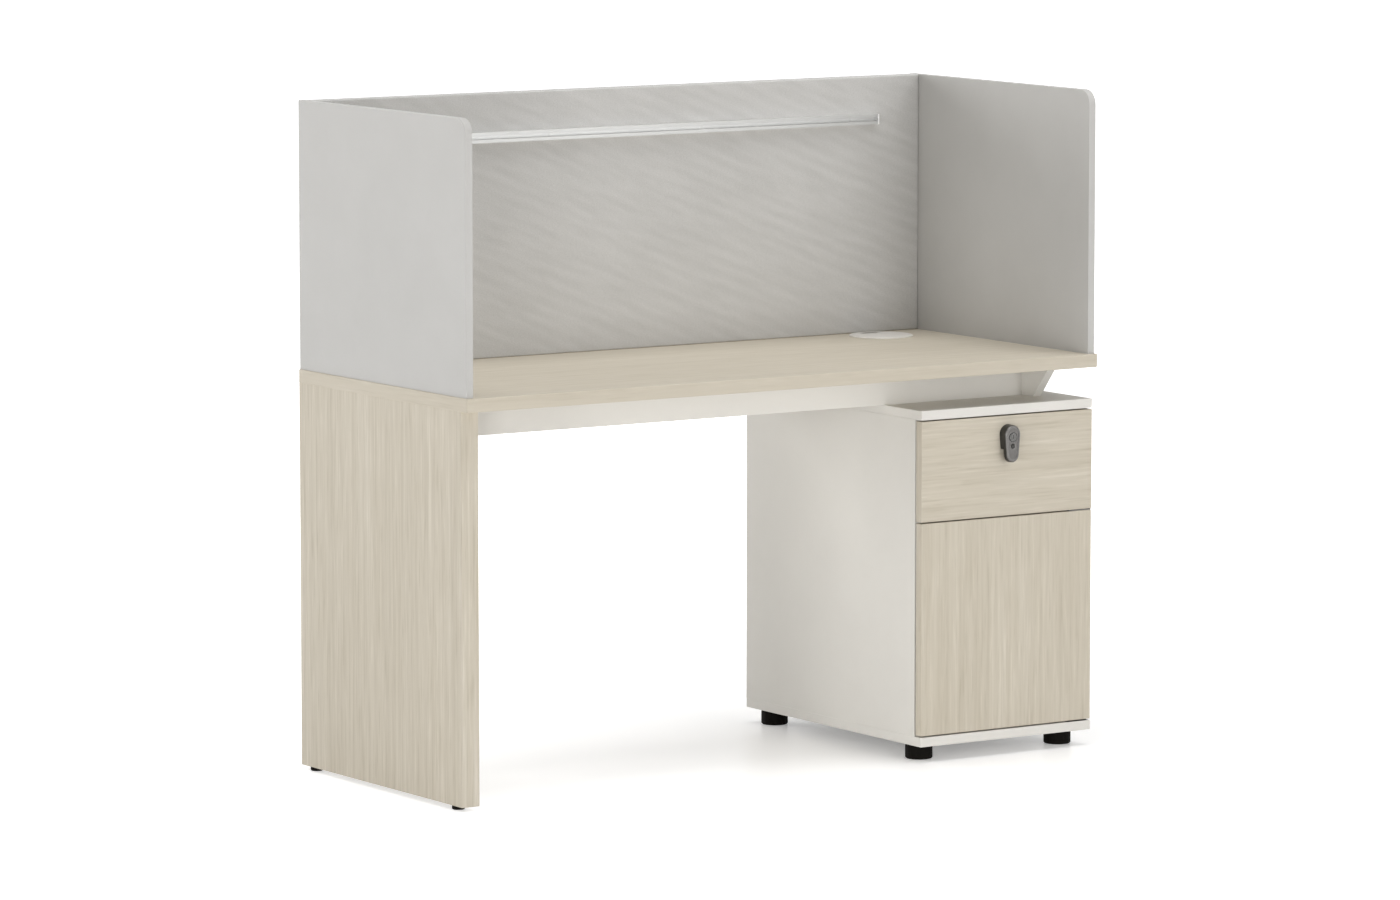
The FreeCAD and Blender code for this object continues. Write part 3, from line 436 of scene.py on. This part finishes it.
def dress_plastic():
    """Caps, grommet, latch, feet and bushes."""
    dress(moulded("rail_cap_white", (0.93, 0.93, 0.92), (0.89, 0.89, 0.88), rough=0.4), "rail_end_caps")
    dress(moulded("white_plastic", (0.74, 0.715, 0.665), (0.70, 0.675, 0.630), rough=0.4),
          "grommet_ring", "grommet_cap", "latch_body")
    dress(moulded("black_plastic", (0.0075, 0.0062, 0.0052), (0.0050, 0.0042, 0.0036), rough=0.65,
                  shine=0.06),
          "feet", "end_glides", "latch_plunger", "hinge_bushes")


def mesh_piece(name, points, faces, mat):
    """Smooth-shaded mesh object in the scene."""
    mesh = bpy.data.meshes.new(name)
    mesh.from_pydata(points, [], faces)
    mesh.update()
    for polygon in mesh.polygons:
        polygon.use_smooth = True
    mesh.materials.append(mat)
    obj = bpy.data.objects.new(name, mesh)
    bpy.context.scene.collection.objects.link(obj)
    return obj


def corner(cy, cz, start, end):
    """Quarter round of the cloth about a centre, between two angles in degrees."""
    spots = []
    for i in range(CORNER_STEPS + 1):
        angle = math.radians(start + (end - start) * i / CORNER_STEPS)
        spots.append((cy + CLOTH_RADIUS * math.cos(angle), cz + CLOTH_RADIUS * math.sin(angle)))
    return spots


def line(a, b, steps):
    """The points between two ends, without the ends."""
    return [(a[0] + (b[0] - a[0]) * i / steps, a[1] + (b[1] - a[1]) * i / steps) for i in range(1, steps)]


def wrap_profile(low, high):
    """Section of the cloth round the screen, from the front's foot over the top to the back's foot."""
    front, back = low.y + CLOTH_RADIUS, high.y - CLOTH_RADIUS
    foot, head = low.z + CLOTH_RADIUS, high.z - CLOTH_RADIUS
    front_foot = corner(front, foot, 270, 180)
    front_head = corner(front, head, 180, 90)
    back_head = corner(back, head, 90, 0)
    back_foot = corner(back, foot, 0, -90)
    path = front_foot + line(front_foot[-1], front_head[0], FACE_STEPS) + front_head
    path += line(front_head[-1], back_head[0], TOP_STEPS) + back_head
    return path + line(back_head[-1], back_foot[0], FACE_STEPS) + back_foot


def wrap_stations(low, high):
    """Places across the screen's width, closer together where the cloth rounds the two ends."""
    quarter = [math.radians(90 * i / CORNER_STEPS) for i in range(CORNER_STEPS + 1)]
    ends = [CLOTH_RADIUS * (1 - math.cos(angle)) for angle in quarter]
    flat = high.x - low.x - 2 * CLOTH_RADIUS
    stations = [low.x + inset for inset in ends]
    stations += [low.x + CLOTH_RADIUS + flat * i / WIDTH_STEPS for i in range(1, WIDTH_STEPS)]
    return stations + [high.x - inset for inset in reversed(ends)]


def wrap_points(low, high, path, stations):
    """The section repeated at every station and drawn in round the two ends."""
    middle = (low.y + high.y) / 2
    points = []
    for x in stations:
        edge = min(x - low.x, high.x - x, CLOTH_RADIUS)
        drawn = CLOTH_RADIUS - math.sqrt(max(0.0, CLOTH_RADIUS ** 2 - (CLOTH_RADIUS - edge) ** 2))
        for y, z in path:
            way = 1.0 if y < middle else -1.0
            points.append((x, y + way * drawn, min(z, high.z - drawn)))
    return points


def grid_faces(columns, rows):
    """Quads between neighbouring columns of points."""
    faces = []
    for i in range(columns - 1):
        for j in range(rows - 1):
            a = i * rows + j
            faces.append((a, a + rows, a + rows + 1, a + 1))
    return faces


def stretched_cloth():
    """The cloth over the back screen, in the place of its plain cover."""
    low, high = (Vector(end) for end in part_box("back_screen_cover"))
    path = wrap_profile(low, high)
    stations = wrap_stations(low, high)
    points = wrap_points(low, high, path, stations)
    piece = mesh_piece("back_screen_cloth", points, grid_faces(len(stations), len(path)), cloth())
    shell = piece.modifiers.new("thickness", "SOLIDIFY")
    shell.thickness = CLOTH_THICKNESS
    shell.offset = -1.0
    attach(piece, "desk")
    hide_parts("back_screen_cover")


def shows_background(tree):
    """1 for rays that end on the background: from the camera, off gloss or through glass."""
    rays = tree.nodes.new("ShaderNodeLightPath")
    seen = rays.outputs["Is Camera Ray"]
    for kind in ("Is Glossy Ray", "Is Transmission Ray"):
        either = tree.nodes.new("ShaderNodeMath")
        either.operation = "MAXIMUM"
        tree.links.new(seen, either.inputs[0])
        tree.links.new(rays.outputs[kind], either.inputs[1])
        seen = either.outputs["Value"]
    return seen


def floor_finish(centre):
    """Pale floor whose glow rises to white with the distance from a point, so that the floor round that
    point is darkened with painted shade.
    """
    f = Finish("studio_floor", Roughness=0.3, Specular_IOR_Level=0.1)
    cloud = f.noise(f.place, scale=3.0, detail=2.0)
    f.colour(f.ramp(cloud, (0.3, (0.93, 0.925, 0.92)), (0.7, (0.95, 0.945, 0.94))))
    away = f.measure("DISTANCE", f.place, centre)
    # Glow weakest near the pedestal: painted shade on the floor round it
    painted_shade_fade = f.span(away, (0.0, GLOW_REACH), (GLOW_IN_PAINTED_SHADE, 1.0))
    glow = f.add("ShaderNodeEmission")
    f.feed_all(glow, Strength=f.calc("MULTIPLY", shows_background(f.tree), painted_shade_fade))
    both = f.add("ShaderNodeAddShader")
    f.feed(both.inputs[0], f.shader.outputs["BSDF"])
    f.feed(both.inputs[1], glow.outputs["Emission"])
    f.feed_all(f.tree.nodes["Material Output"], Surface=both.outputs["Shader"])
    return f.mat


def floor():
    """Square floor, with the painted shade of its finish centred under the pedestal."""
    low, high = (Vector(end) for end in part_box("ped_bottom"))
    centre = (low + high) / 2
    centre.z = 0.0
    signs = ((-1, -1), (1, -1), (1, 1), (-1, 1))
    points = [(x * FLOOR_REACH, y * FLOOR_REACH, FLOOR_LEVEL) for x, y in signs]
    plane = mesh_piece("floor", points, [(0, 1, 2, 3)], floor_finish(centre))


def backdrop():
    """World that is white to look at and lights the object only faintly."""
    world = bpy.data.worlds.new("studio")
    bpy.context.scene.world = world
    world.use_nodes = True
    tree = world.node_tree
    sky = tree.nodes["Background"]
    sky.inputs["Color"].default_value = (1.0, 1.0, 1.0, 1.0)
    level = tree.nodes.new("ShaderNodeMapRange")
    level.inputs["To Min"].default_value = SKY_LIGHT
    level.inputs["To Max"].default_value = 1.0
    tree.links.new(shows_background(tree), level.inputs["Value"])
    tree.links.new(level.outputs["Result"], sky.inputs["Strength"])


def softbox(name, azimuth, rise, size, power):
    """Square lamp at a set distance from the aim point and turned to it."""
    data = bpy.data.lights.new(name, "AREA")
    data.shape = "SQUARE"
    data.size = size
    data.energy = power
    lamp = bpy.data.objects.new(name, data)
    turn, lift = math.radians(azimuth), math.radians(rise)
    way = Vector((math.sin(turn) * math.cos(lift), -math.cos(turn) * math.cos(lift), math.sin(lift)))
    lamp.location = LAMP_AIM + way * LAMP_DISTANCE
    lamp.rotation_euler = (-way).to_track_quat("-Z", "Y").to_euler()
    lamp.visible_camera = False
    bpy.context.scene.collection.objects.link(lamp)


def camera():
    """Camera at the photograph's viewing angle."""
    data = bpy.data.cameras.new("camera")
    data.lens = CAMERA_LENS
    data.sensor_width = CAMERA_SENSOR
    data.clip_end = CAMERA_REACH
    eye = bpy.data.objects.new("camera", data)
    eye.location = CAMERA_PLACE
    eye.rotation_euler = (math.radians(90 - CAMERA_DIP), 0.0, math.radians(CAMERA_TURN))
    bpy.context.scene.collection.objects.link(eye)
    bpy.context.scene.camera = eye


def studio():
    """Floor, background, lamps and camera."""
    floor()
    backdrop()
    for box in SOFTBOXES:
        softbox(*box)
    camera()
    bpy.context.scene.view_settings.view_transform = "Standard"


dress_boards()
dress_metal()
dress_plastic()
stretched_cloth()
studio()
